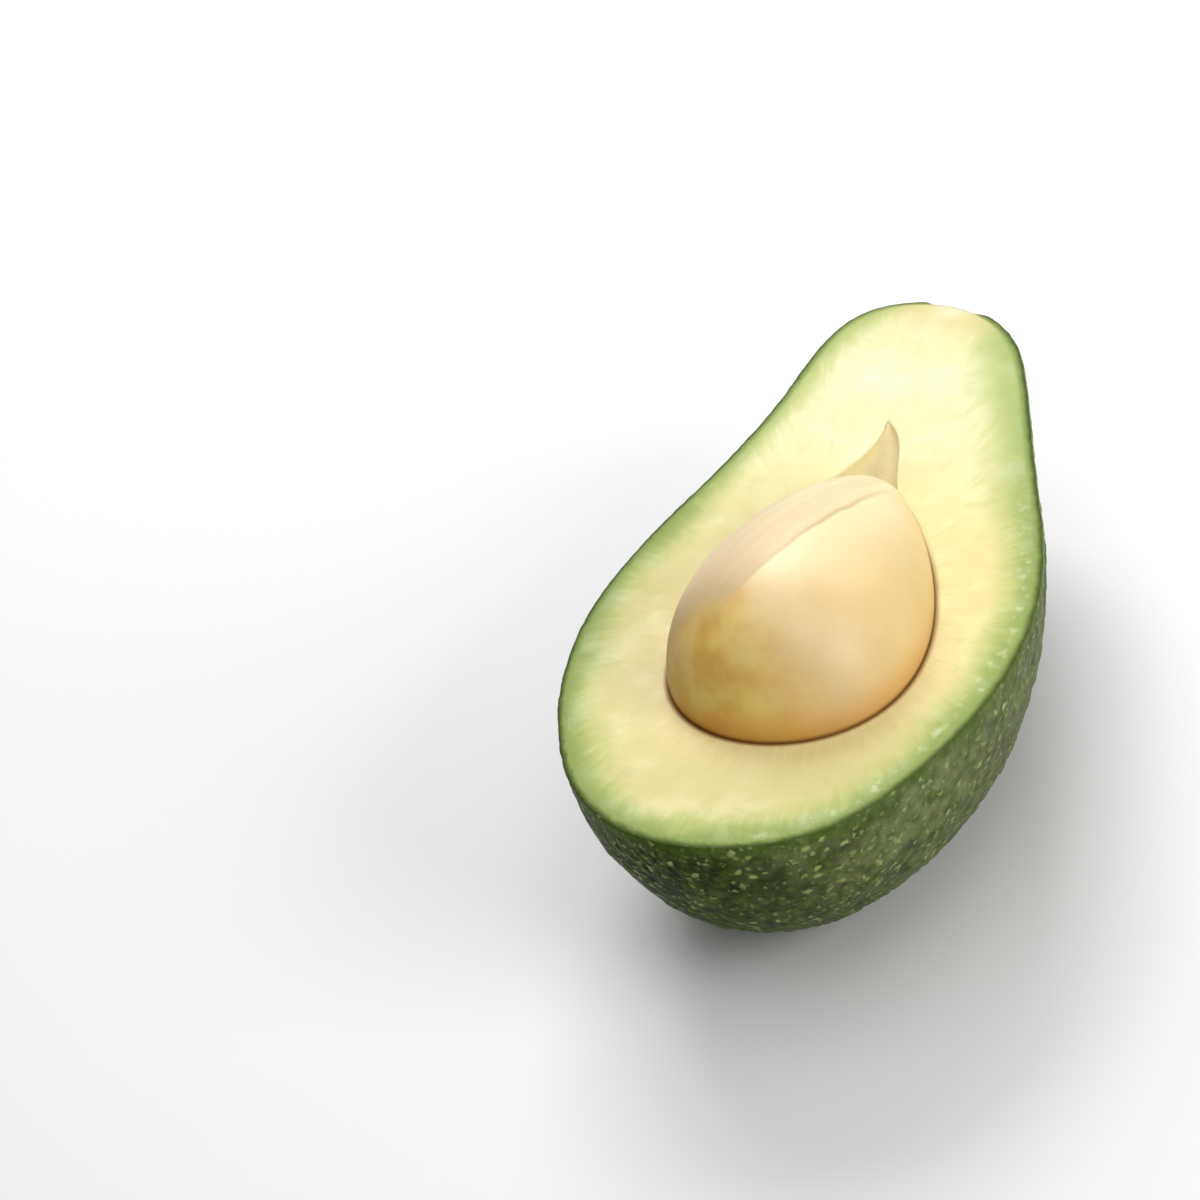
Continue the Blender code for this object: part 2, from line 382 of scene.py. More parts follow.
def stacked_rings(rows, around):
    """Triangles of a closed body of rings, whose two last points close its first and last.

    Seen from outside, each ring runs so that the following one is on its left.
    """
    first = np.arange(around)
    last = first + (rows - 1) * around
    near, far = rows * around, rows * around + 1
    starts = [first + row * around for row in range(rows)]
    triangles = [strip(ring, following) for ring, following in zip(starts, starts[1:])]
    triangles.append(np.stack([np.roll(first, -1), first, 0 * first + near], -1))
    triangles.append(np.stack([last, np.roll(last, -1), 0 * last + far], -1))
    return np.concatenate(triangles)


def edge_height(inward):
    """Height of the cut face this far in from the outside: the rim's drop dies away."""
    return -EDGE_DROP * np.exp(-inward / EDGE_REACH)


# The skin


def skin_relief(points):
    """Height of the skin: round pebbles of uneven size on soft lumps, with a fine grain.

    Returns the height and how far up a pebble each point is, from 0 to 1.
    """
    warp = [billow(points, WARP_SPACING, seed) for seed in (11, 12, 13)]
    bent = points + WARP_REACH * np.stack(warp, -1)
    nearest, second, chance = scattered(bent, PEBBLE_SPACING, seed=3)
    dome = np.clip(1 - (nearest / PEBBLE_RADIUS) ** 2, 0, 1)
    dome *= smooth(0, PEBBLE_VALLEY, second - nearest)
    pebble = dome * (LOWEST_PEBBLE + (1 - LOWEST_PEBBLE) * chance)
    lumps = billow(points, LUMP_SPACING, seed=5)
    grain = billow(points, GRAIN_SPACING, seed=7)
    height = PEBBLE_HEIGHT * pebble + LUMP_HEIGHT * (lumps - 0.5) + GRAIN_HEIGHT * grain
    return height, pebble


def skin_depth(scar):
    """Thickness of what lies outside the flesh, thinner where it is the scar's cork."""
    return SKIN_THICKNESS + (SCAR_SINK + CORK_THICKNESS - SKIN_THICKNESS) * scar


def skin_surface():
    """The skin: a pebbled outside, a rounded cut edge and a plain inside, closed.

    The outside is the fruit's surface raised by the relief. The edge turns from it by a
    quarter circle onto the cut. The inside is the surface moved inward by the thickness.
    """
    unit, triangles, rim = hemisphere_grid(*SKIN_GRID)
    base, normals = fruit_points(unit)
    scar = scar_share(base)
    relief, pebble = skin_relief(base)
    calm = CUT_RELIEF + (1 - CUT_RELIEF) * smooth(0, WHOLE_RELIEF, -base[:, 2])
    cork = billows(base, CORK_BUMPS)
    raised = relief * calm * (1 - scar) + (cork - SCAR_SINK) * scar
    outside = base + normals * raised[:, None]
    outside[:, 2] -= (RIM_ROUND + EDGE_DROP) * np.exp(base[:, 2] / OUTER_EASE)
    outer = outside[rim]
    rim_scar = scar[rim]
    rim_inner = base[rim] - normals[rim] * skin_depth(rim_scar)[:, None]
    across = np.linalg.norm((outer - rim_inner)[:, :2], axis=1)
    rows = []
    inward = []
    for row in range(1, RIM_ROWS + 1):
        lean = math.pi / 2 * row / RIM_ROWS
        moved = np.minimum((1 - math.cos(lean)) * RIM_ROUND, 0.5 * across)
        line = outer - normals[rim] * moved[:, None]
        line[:, 2] = outer[:, 2] + (edge_height(RIM_ROUND) - outer[:, 2]) * math.sin(lean)
        rows.append(line)
        inward.append(moved + SCAR_SINK * rim_scar)
    share = 1 - EDGE_MARGIN / np.maximum(across, 2 * EDGE_MARGIN)
    line = rows[-1] + (rim_inner - rows[-1]) * share[:, None]
    inward.append(inward[-1] + (skin_depth(rim_scar) - inward[-1]) * share)
    line[:, 2] = edge_height(inward[-1])
    rows.append(line)
    inner_unit, inner_triangles, inner_rim = hemisphere_grid(*(n // 2 for n in SKIN_GRID))
    inner_base, inner_normals = fruit_points(inner_unit)
    inner_scar = scar_share(inner_base)
    inner_depth = skin_depth(inner_scar)
    inside = inner_base - inner_normals * inner_depth[:, None]
    inside[:, 2] += edge_height(inner_depth) * np.exp(inner_base[:, 2] / INNER_EASE)
    points = np.concatenate([outside, *rows, inside]) + PLACE
    faces = [triangles]
    ring = rim
    for row in range(len(rows)):
        following = len(outside) + row * len(rim) + np.arange(len(rim))
        faces.append(strip(ring, following))
        ring = following
    inside_start = len(outside) + len(rows) * len(rim)
    faces.append(halving_strip(ring, inside_start + inner_rim))
    faces.append(inner_triangles[:, ::-1] + inside_start)
    points[: len(outside), 2] = pressed_flat(points[: len(outside), 2], 0)
    points[inside_start:, 2] = pressed_flat(points[inside_start:, 2], SKIN_THICKNESS)
    attributes = {
        "inward": np.concatenate([0 * scar, *inward, inner_depth]) / MM,
        "scar": np.concatenate([scar, *[rim_scar] * len(rows), inner_scar]),
        "pebble": np.concatenate([pebble, *[pebble[rim]] * len(rows), 0 * inner_scar]),
    }
    return points, np.concatenate(faces), attributes


# The flesh


def polar(x, y):
    """Angle and distance from the seed's middle."""
    return np.arctan2(y - SEED_Y, x - SEED_X), np.hypot(x - SEED_X, y - SEED_Y)


def egg_edge(count):
    """The edge of the seed's room on the cut: the egg's outline and the gap round it."""
    turn = np.linspace(-np.pi, np.pi, count)
    along = np.sin(turn)
    half = (SEED_HALF_WIDTH + SEED_GAP) * (1 - SEED_EGG * along) * np.cos(turn)
    return SEED_X + half, SEED_Y + (SEED_HALF_LENGTH + SEED_GAP) * along


def hollow_edge(count):
    """The hollow's right edge up to its tip, and then its left edge back down."""
    along = np.linspace(1, 0, count)
    middle, y, radius = (bezier(c, along) for c in (HOLLOW_X, HOLLOW_Y, HOLLOW_RADIUS))
    x = np.concatenate([middle + radius, (middle - radius)[-2::-1]])
    return x, np.concatenate([y, y[-2::-1]])


def room_reach(angles):
    """Distance from the seed's middle to the edge of its room, or of the hollow beyond."""
    angle, reach = polar(*egg_edge(FINE_EGG_POINTS))
    order = np.argsort(angle)
    egg = np.interp(angles, angle[order], reach[order], period=2 * np.pi)
    angle, reach = polar(*hollow_edge(HOLLOW_POINTS))
    order = np.argsort(angle)
    hollow = np.interp(angles, angle[order], reach[order], left=0, right=0)
    return np.maximum(egg, hollow)


def room_depth(x, y):
    """Depth below the cut of the seed's room, or of the hollow where that is deeper."""
    u = np.clip((y - SEED_Y) / (SEED_HALF_LENGTH + SEED_GAP), -1, 1)
    egg = (SEED_HALF_WIDTH + SEED_GAP) * np.sqrt(1 - u**2) * (1 - SEED_EGG * u)
    egg_depth = np.sqrt(np.clip(egg**2 - (x - SEED_X) ** 2, 0, None))
    along = np.linspace(1, 0, HOLLOW_POINTS)
    middle, level, radius = (bezier(c, along) for c in (HOLLOW_X, HOLLOW_Y, HOLLOW_RADIUS))
    half = np.interp(y, level, radius, left=0, right=0)
    offset = x - np.interp(y, level, middle)
    return np.maximum(egg_depth, np.sqrt(np.clip(half**2 - offset**2, 0, None)))


def flesh_columns():
    """Where the flesh's columns stand all round: angle, room's reach and place on the rim.

    Their steps are even along the room's edge and the fruit's edge taken together.
    """
    turn = np.linspace(0, 2 * np.pi, FINE_OUTLINE_POINTS)
    outer, normals = fruit_points(rim_units(turn))
    outer = outer - FLESH_TUCK * normals
    angle, reach = polar(outer[:, 0], outer[:, 1])
    angle = np.unwrap(angle)
    dense = np.sort(np.concatenate([angle, polar(*hollow_edge(HOLLOW_POINTS))[0]]))
    direction = np.stack([np.cos(dense), np.sin(dense)], -1)
    steps = np.zeros(len(dense) - 1)
    for line in (room_reach(dense), np.interp(dense, angle, reach)):
        steps += np.linalg.norm(np.diff(direction * line[:, None], axis=0), axis=1)
    travelled = np.concatenate([[0], np.cumsum(steps)])
    wanted = np.arange(FLESH_AROUND) * travelled[-1] / FLESH_AROUND
    angles = np.interp(wanted, travelled, dense)
    return angles, room_reach(angles), np.interp(angles, angle, turn)


def nearest_distance(points, line):
    """Distance from each point to the nearest of a line's close points, in slices."""
    found = np.empty(len(points))
    for start in range(0, len(points), POINTS_AT_ONCE):
        part = slice(start, start + POINTS_AT_ONCE)
        square = (points[part] ** 2).sum(1)[:, None] + (line**2).sum(1)
        square -= 2 * points[part] @ line.T
        found[part] = np.sqrt(np.clip(square.min(1), 0, None))
    return found


def face_relief(flat, from_skin, from_room):
    """Height of the cut face: soft waves and faint knife lines, calm near both edges, and
    the edge rolled over at the skin."""
    place = np.column_stack([flat, np.zeros(len(flat))])
    relief = billows(place, FACE_WAVES) + billows(place * KNIFE_STRETCH, KNIFE_LINES)
    calm = smooth(SKIN_THICKNESS, FACE_CALM, from_skin) * smooth(0, ROOM_CALM, from_room)
    tuck = SEAM_TUCK * smooth(SKIN_THICKNESS, SEAM_END, from_skin) - SEAM_TUCK
    return relief * calm + tuck + edge_height(from_skin)


def flesh_surface():
    """The flesh: a ring of columns all round, carried along a profile.

    The profile starts under the seed, climbs the wall of its room, turns over the lip by a
    quarter ellipse, crosses the cut face to the skin and runs down the fruit's side to the
    bottom. Each row is a closed ring, and both ends are closed by a fan.
    """
    angles, room, turn = flesh_columns()
    direction = np.stack([np.cos(angles), np.sin(angles)], -1)
    middle = np.array([SEED_X, SEED_Y])
    rim_base, rim_normals = fruit_points(rim_units(turn))
    rim = (rim_base - FLESH_TUCK * rim_normals)[:, :2]
    rows = []
    for row in range(1, ROOM_ROWS + 1):
        flat = middle + direction * (room * math.sin(math.pi / 2 * row / ROOM_ROWS))[:, None]
        depth = room_depth(*flat.T) if row < ROOM_ROWS else 0 * room
        rows.append(np.column_stack([flat, -np.maximum(depth, LIP_DEPTH)]))
    for row in range(1, LIP_ROWS + 1):
        lean = math.pi / 2 * row / LIP_ROWS
        flat = middle + direction * (room + LIP_WIDTH * (1 - math.cos(lean)))[:, None]
        rows.append(np.column_stack([flat, 0 * room + LIP_DEPTH * (math.sin(lean) - 1)]))
    lip = rows[-1][:, :2]
    nearly = rim - EDGE_MARGIN * direction
    for row in range(1, FACE_ROWS):
        share = row / (FACE_ROWS - 1)
        share -= FACE_CROWDING * math.sin(2 * math.pi * share) / math.pi
        rows.append(np.column_stack([lip + (nearly - lip) * share, 0 * room]))
    rows.append(np.column_stack([rim, 0 * room]))
    for row in range(1, SIDE_ROWS + 1):
        lean = math.pi / 2 * row / (SIDE_ROWS + 1)
        unit = rim_units(turn) * math.cos(lean) - np.array([0, 0, math.sin(lean)])
        base, normals = fruit_points(unit)
        rows.append(base - FLESH_TUCK * normals)
    top = np.array([[SEED_X, SEED_Y, -float(room_depth(SEED_X, SEED_Y))]])
    base, normals = fruit_points(np.array([[0.0, 0.0, -1.0]]))
    points = np.concatenate([*rows, top, base - FLESH_TUCK * normals])
    outline = fruit_points(rim_units(np.linspace(0, 2 * np.pi, OUTLINE_POINTS)))[0]
    from_skin, from_egg, from_hollow = (
        nearest_distance(points[:, :2], line)
        for line in (
            outline[:, :2],
            np.column_stack(egg_edge(EGG_POINTS)),
            np.column_stack(hollow_edge(HOLLOW_POINTS)),
        )
    )
    from_room = np.minimum(from_egg, from_hollow)
    face_start = (ROOM_ROWS + LIP_ROWS) * FLESH_AROUND
    face = slice(face_start, face_start + FACE_ROWS * FLESH_AROUND)
    points[face, 2] += face_relief(points[face, :2], from_skin[face], from_room[face])
    inside = np.zeros(len(points))
    inside[:face_start] = 1
    inside[-2] = 1
    placed = points + PLACE
    placed[:, 2] = pressed_flat(placed[:, 2], FLESH_TUCK)
    attributes = {"from_skin": from_skin / MM, "from_egg": from_egg / MM, "inside": inside}
    return placed, stacked_rings(len(rows), FLESH_AROUND)[:, ::-1], attributes


# The seed


def coat_cover(across, along):
    """How far inside its papery coat each place on the seed is, in the seed's own measure.

    The tear is a parabola across the seed, made ragged.
    """
    line = COAT_EDGE[0] + COAT_EDGE[1] * along + COAT_EDGE[2] * along**2
    place = np.column_stack([0 * along, along, 0 * along])
    return line + billows(place, RAGGED_TEAR) - across


def seed_surface():
    """The seed: an egg with its torn coat and low lumps.

    Rows run from the blunt end to the narrow end, where both close. The half width is
    that of an ellipse, times 1 minus the egg share times the place along.
    """
    lean, turn = np.meshgrid(
        np.linspace(0, math.pi, SEED_ROWS + 1)[1:-1],
        np.linspace(0, 2 * math.pi, SEED_AROUND, endpoint=False),
        indexing="ij",
    )
    unit = np.stack(
        [np.sin(lean) * np.sin(turn), -np.cos(lean), np.sin(lean) * np.cos(turn)], -1
    ).reshape(-1, 3)
    unit = np.concatenate([unit, [[0, -1, 0], [0, 1, 0]]])
    across, along, height = unit.T
    narrowing = 1 - SEED_EGG * along
    size = np.array([SEED_HALF_WIDTH, SEED_HALF_LENGTH, SEED_HALF_WIDTH])
    ones = np.ones(len(unit))
    base = unit * size * np.stack([narrowing, ones, narrowing], -1)
    tilt = along + SEED_EGG * (across**2 + height**2) / narrowing
    normals = np.stack([across / narrowing, tilt, height / narrowing], -1) / size
    normals /= np.linalg.norm(normals, axis=1, keepdims=True)
    cover = coat_cover(across, along)
    coat = smooth(-COAT_STEP, COAT_STEP, cover) * smooth(*COAT_FOOT, height)
    coat *= smooth(*COAT_BLUNT_END, along) * (1 - COAT_TIP_LOSS * smooth(*COAT_TIP, along))
    folds = np.column_stack([cover * WRINKLE_CROWDING, along, height])
    raised = (billows(base, SEED_LUMPS) - BARE_SINK) * smooth(*RELIEF_FOOT, height)
    raised += coat * (COAT_THICKNESS + billows(folds, COAT_WRINKLES))
    points = base + normals * raised[:, None]
    placed = points + PLACE + np.array([SEED_X, SEED_Y, -SEED_SINK])
    attributes = {"across": across, "along": along, "height": height}
    attributes |= {"coat": coat, "tear": cover}
    return placed, stacked_rings(SEED_ROWS - 1, SEED_AROUND), attributes


# Finishes


def screen(red, green, blue):
    """A linear colour from screen values of 0 to 255."""
    parts = [value / 255 for value in (red, green, blue)]
    return (*[p / 12.92 if p < 0.04045 else ((p + 0.055) / 1.055) ** 2.4 for p in parts], 1.0)


# The skin's colours
DARK_GREEN = screen(42, 56, 2)
LEAF_GREEN = screen(68, 86, 14)
PEBBLE_TOP_HIGHLIGHT = screen(98, 114, 36)
PEBBLE_FOOT_SHADE = screen(12, 18, 0)
GRAIN_DARK = screen(10, 16, 0)
SHADED_SIDE = screen(16, 24, 0)
PAINTED_GREY_SHEEN = screen(134, 141, 98)
FRESH_RIM = screen(70, 98, 14)
PALE_RIM = screen(160, 178, 118)
PALE_SPECK = screen(160, 174, 106)
CORK_DARK = screen(226, 204, 152)
CORK_LIGHT = screen(250, 238, 198)
CORK_RING = screen(160, 140, 86)
# The cut edge's colours
EDGE_LINE = screen(78, 92, 44)
EDGE_GREEN = screen(156, 176, 98)
# The flesh's colours
CREAM_DARK = screen(231, 220, 150)
CREAM_LIGHT = screen(238, 229, 162)
BLOSSOM_CREAM = screen(221, 210, 143)
NECK_CREAM = screen(244, 242, 184)
NECK_PAINTED_HIGHLIGHT = screen(250, 250, 208)
PEACH_DARK = screen(234, 217, 154)
PEACH_LIGHT = screen(242, 226, 168)
LIME_DARK = screen(178, 190, 102)
LIME_LIGHT = screen(198, 207, 124)
NECK_LIME = screen(220, 224, 152)
RIM_GREEN = screen(134, 156, 66)
NECK_GREEN = screen(168, 188, 104)
PAINTED_WET_GLINT = screen(226, 236, 184)
FIBRE_TAN = screen(190, 180, 100)
STEM_RING = screen(238, 222, 158)
STEM_CORE = screen(250, 242, 200)
ROOM_DARK = screen(231, 213, 156)
ROOM_LIGHT = screen(242, 231, 181)
GROOVE_SHADE_TAN = screen(184, 152, 88)
GROOVE_SHADE_BROWN = screen(146, 100, 42)
# The seed's colours
SEED_TAN = screen(250, 217, 160)
SEED_PALE = screen(253, 224, 170)
SEED_PAINTED_HIGHLIGHT = screen(255, 243, 194)
BLUNT_TAN = screen(222, 189, 134)
OCHRE_DARK = screen(236, 184, 84)
OCHRE_LIGHT = screen(246, 212, 116)
SIDE_TAN = screen(230, 192, 120)
FOOT_ORANGE = screen(214, 148, 62)
PAPER_DARK = screen(249, 226, 178)
PAPER_LIGHT = screen(255, 239, 192)
PAPER_PINK = screen(242, 214, 172)
PAPER_OLIVE_AND_SHADE = screen(186, 158, 86)
LEFT_EDGE_SHADE = screen(156, 122, 52)
TEAR_LINE = screen(190, 154, 112)
SEED_GROOVE_SHADE = screen(140, 94, 36)
# The floor's colours, in front with painted shade and behind
FLOOR_NEAR_SHADE = screen(240, 241, 241)
FLOOR_FAR = screen(252, 252, 252)

# The skin's specks: spacing, size in spacings and strength of each layer, their soft edge,
# and how far their pattern is bent
SPECKS = ((1.9 * MM, 0.39, 1.0), (1.2 * MM, 0.40, 0.75))
SPECK_EDGE = 0.24
SPECK_BEND = 1.6 * MM
# The flesh's fibres, on directions from the seed's middle: their width, and how far they
# change for each metre outwards
FIBRE_WIDTH = 0.045
FIBRE_DRIFT = 6


class Wire:
    """The output of a node, on which sums and products add their Math nodes."""

    def __init__(self, finish, socket):
        self.finish = finish
        self.socket = socket

    def math(self, operation, *values):
        """A Math node's result for these values."""
        inputs = dict(enumerate(values))
        return self.finish.node("ShaderNodeMath", {"operation": operation}, inputs)

    def __add__(self, other):
        return self.math("ADD", self, other)

    def __sub__(self, other):
        return self.math("SUBTRACT", self, other)

    def __rsub__(self, other):
        return self.math("SUBTRACT", other, self)

    def __mul__(self, other):
        return self.math("MULTIPLY", self, other)

    def __truediv__(self, other):
        return self.math("DIVIDE", self, other)

    def __rtruediv__(self, other):
        return self.math("DIVIDE", other, self)

    def __abs__(self):
        return self.math("ABSOLUTE", self)

    __radd__ = __add__
    __rmul__ = __mul__

    def rises(self, low, high):
        """0 below low and 1 above high, smooth between them."""
        return self.finish.node(
            "ShaderNodeMapRange",
            {"interpolation_type": "SMOOTHSTEP"},
            {"Value": self, "From Min": low, "From Max": high},
        )

    def falls(self, low, high):
        """1 below low and 0 above high, smooth between them."""
        return 1 - self.rises(low, high)

    def painted(self, colour, share):
        """This colour with another one painted over it, in this share."""
        return self.finish.mix(share, self, colour)


class Finish:
    """A material under construction."""

    def __init__(self, name):
        self.material = bpy.data.materials.new(name)
        self.material.use_nodes = True
        self.nodes = self.material.node_tree.nodes
        self.links = self.material.node_tree.links
        self.surface = self.nodes["Principled BSDF"]
        self.place = self.node("ShaderNodeTexCoord", {}, {}, "Object")

    def node(self, kind, settings, inputs, output=0):
        """A new node's output, with its settings made before its sockets are fed."""
        node = self.nodes.new(kind)
        for key, value in settings.items():
            setattr(node, key, value)
        for key, value in inputs.items():
            self.feed(node.inputs[key], value)
        return Wire(self, node.outputs[output])

    def feed(self, socket, value):
        """A wire is linked to the socket, and anything else is set on it."""
        if isinstance(value, Wire):
            self.links.new(value.socket, socket)
        else:
            socket.default_value = value

    def set(self, **values):
        """The sockets of the surface, by their names with underscores for spaces."""
        for key, value in values.items():
            self.feed(self.surface.inputs[key.replace("_", " ")], value)

    def attribute(self, name):
        """The value that the mesh carries at each point."""
        return self.node("ShaderNodeAttribute", {"attribute_name": name}, {}, "Fac")

    def axis(self, letter):
        """The place along one axis, in mm."""
        return self.node("ShaderNodeSeparateXYZ", {}, {0: self.place}, letter) * (1 / MM)

    def mix(self, share, first, second):
        """The first colour, turned into the second by a share."""
        inputs = {0: share, 6: first, 7: second}
        return self.node("ShaderNodeMix", {"data_type": "RGBA"}, inputs, 2)

    def vector(self, operation, *values, output=0):
        """A Vector Math node's result for these values."""
        inputs = dict(enumerate(values))
        return self.node("ShaderNodeVectorMath", {"operation": operation}, inputs, output)

    def noise(self, spacing, detail=2.0, place=None, output="Fac"):
        """Soft noise of 0 to 1, or random colours, whose spots lie about this far apart."""
        inputs = {
            "Vector": self.place if place is None else place,
            "Scale": 1 / spacing,
            "Detail": detail,
        }
        return self.node("ShaderNodeTexNoise", {}, inputs, output)

    def cells(self, spacing, place, output="Distance"):
        """The distance to the nearest of random points about this far apart, or its colour."""
        inputs = {"Vector": place, "Scale": 1 / spacing}
        return self.node("ShaderNodeTexVoronoi", {}, inputs, output)

    def bump(self, height, depth, strength):
        """The normal for heights of about 0 to 1 that stand for this depth in metres."""
        inputs = {"Height": height, "Distance": depth, "Strength": strength}
        return self.node("ShaderNodeBump", {}, inputs)


def cut_edge_colour(finish, inward):
    """The colour near the skin, by distance in mm from the fruit's outside: the skin's
    dark line, then green."""
    ragged = inward + finish.noise(2.2 * MM, 3) * 0.5 - 0.25
    return finish.mix(ragged.rises(0.15, 1.3), EDGE_LINE, EDGE_GREEN)


def skin_specks(finish, bent):
    """Soft round specks, one in each random cell, of uneven size and strength."""
    layers = []
    for spacing, size, strength in SPECKS:
        tint = finish.cells(spacing, bent, "Color")
        chance = finish.node("ShaderNodeSeparateColor", {}, {0: tint})
        speck = (finish.cells(spacing, bent) + chance * 0.12).falls(size - SPECK_EDGE, size)
        layers.append(speck * (0.15 + chance.falls(0.0, 0.9) * 0.85) * strength)
    return sum(layers)


def skin_finish():
    """Patched dark green, with a painted highlight on each pebble and nearly black painted
    shade between them.

    Then come painted shade on the shaded side and a painted grey sheen on the right, the
    fresher green below the cut, painted light at the neck, the specks, fainter where shaded,
    the cut edge and the stem's cork.
    """
    finish = Finish("dark green pebbled skin")
    inward = finish.attribute("inward")
    scar = finish.attribute("scar")
    pebble = finish.attribute("pebble")
    along = finish.axis("Y")
    below_cut = CUT_HEIGHT / MM - finish.axis("Z")
    from_blossom_end = along - START_Y / MM
    patches = finish.noise(11 * MM, 3)
    grain = finish.noise(0.9 * MM, 3)
    colour = finish.mix(patches.rises(0.35, 0.68), DARK_GREEN, LEAF_GREEN)
    # Painted highlight on each pebble's top and painted shade at its foot
    colour = colour.painted(PEBBLE_TOP_HIGHLIGHT, pebble.rises(0.1, 0.8) * 0.4)
    colour = colour.painted(PEBBLE_FOOT_SHADE, pebble.falls(0.0, 0.1) * 0.6)
    colour = colour.painted(GRAIN_DARK, grain.falls(0.36, 0.52) * 0.6)
    # Painted shade on the side away from the light, and a painted grey sheen on the lit right
    # side
    right = finish.axis("X") - along * 0.35 + (patches - 0.5) * 20
    sunny = right.rises(-45, -5)
    colour = colour.painted(SHADED_SIDE, (1 - sunny) * 0.6)
    sheen_patches = finish.noise(2.4 * MM, 3).rises(0.3, 0.7)
    colour = colour.painted(PAINTED_GREY_SHEEN, right.rises(8, 46) * (0.35 + sheen_patches * 0.65) * 0.74)
    near_cut = (below_cut + finish.noise(4 * MM, 2) * 4 - 2).falls(0.2, 3.6)
    colour = colour.painted(FRESH_RIM, near_cut * 0.55)
    # Painted light: the skin just below the cut at the neck is painted paler than its dim side
    neck_rim = below_cut.falls(0.4, 1.8) * from_blossom_end.rises(45, 85)
    colour = colour.painted(PALE_RIM, neck_rim * 0.7)
    bend = finish.noise(1.2 * MM, 2, output="Color")
    bent = finish.vector("MULTIPLY_ADD", bend, (SPECK_BEND,) * 3, finish.place)
    specks = skin_specks(finish, bent)
    # The specks are painted fainter on the shaded side, as painted shade
    colour = colour.painted(PALE_SPECK, specks * (0.5 + sunny * 0.3))
    colour = colour.painted(cut_edge_colour(finish, inward), inward.rises(0.02, 0.2))
    cork = finish.mix(finish.noise(1.2 * MM, 3).rises(0.35, 0.65), CORK_DARK, CORK_LIGHT)
    cork = cork.painted(CORK_RING, scar.falls(0.45, 0.8) * 0.7)
    colour = colour.painted(cork, (scar + grain * 0.3 - 0.15).rises(0.3, 0.6))
    relief = finish.cells(1.2 * MM, bent).falls(0.1, 0.9) + specks
    finish.set(
        Base_Color=colour,
        Roughness=finish.noise(1.5 * MM, 2) * 0.2 + 0.34,
        Normal=finish.bump(relief, 0.12 * MM, 0.8),
        Specular_IOR_Level=0.05,
    )
    return finish.material


